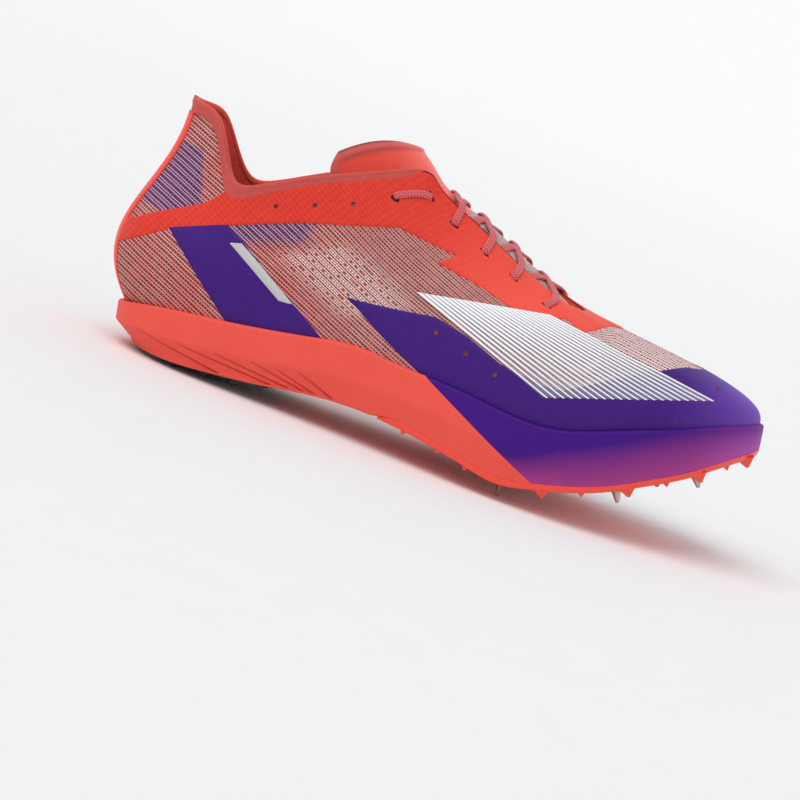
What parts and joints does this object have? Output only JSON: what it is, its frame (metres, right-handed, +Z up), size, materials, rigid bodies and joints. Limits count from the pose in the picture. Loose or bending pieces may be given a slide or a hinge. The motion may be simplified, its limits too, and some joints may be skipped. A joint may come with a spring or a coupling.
{
  "type": "cross country running spike shoe",
  "caption": "Right running shoe with a hollow knit upper, laced throat, foam midsole with toe spring, toothed spike plate with screwed pins and a toothed heel pad.",
  "frame": {"origin": "on the floor under the middle of the shoe's bounding box", "axes": "+X from heel to toe, +Y to the inner (medial) side, +Z up"},
  "size_m": [0.2844, 0.0974, 0.1212],
  "materials": {
    "upper": "matte",
    "tongue": "matte",
    "insole": "matte",
    "midsole": "satin foam",
    "plate": "satin",
    "rubber": "matte",
    "steel": "turned",
    "lace": "woven"
  },
  "bodies": {
    "root": {"midsole": "midsole", "heel_outsole": "rubber", "spike_plate": "plate", "spike_rear_lateral": "steel", "spike_mid_lateral": "steel", "spike_front_lateral": "steel", "spike_rear_medial": "steel", "spike_mid_medial": "steel", "spike_front_medial": "steel", "insole": "insole", "upper": "upper", "tongue": "tongue", "heel_tape": "plate", "lace_crossing_1": "lace", "lace_crossing_2": "lace", "lace_crossing_3": "lace", "lace_crossing_4": "lace", "lace_loop_lateral": "lace", "lace_loop_medial": "lace"}
  },
  "joints": []
}
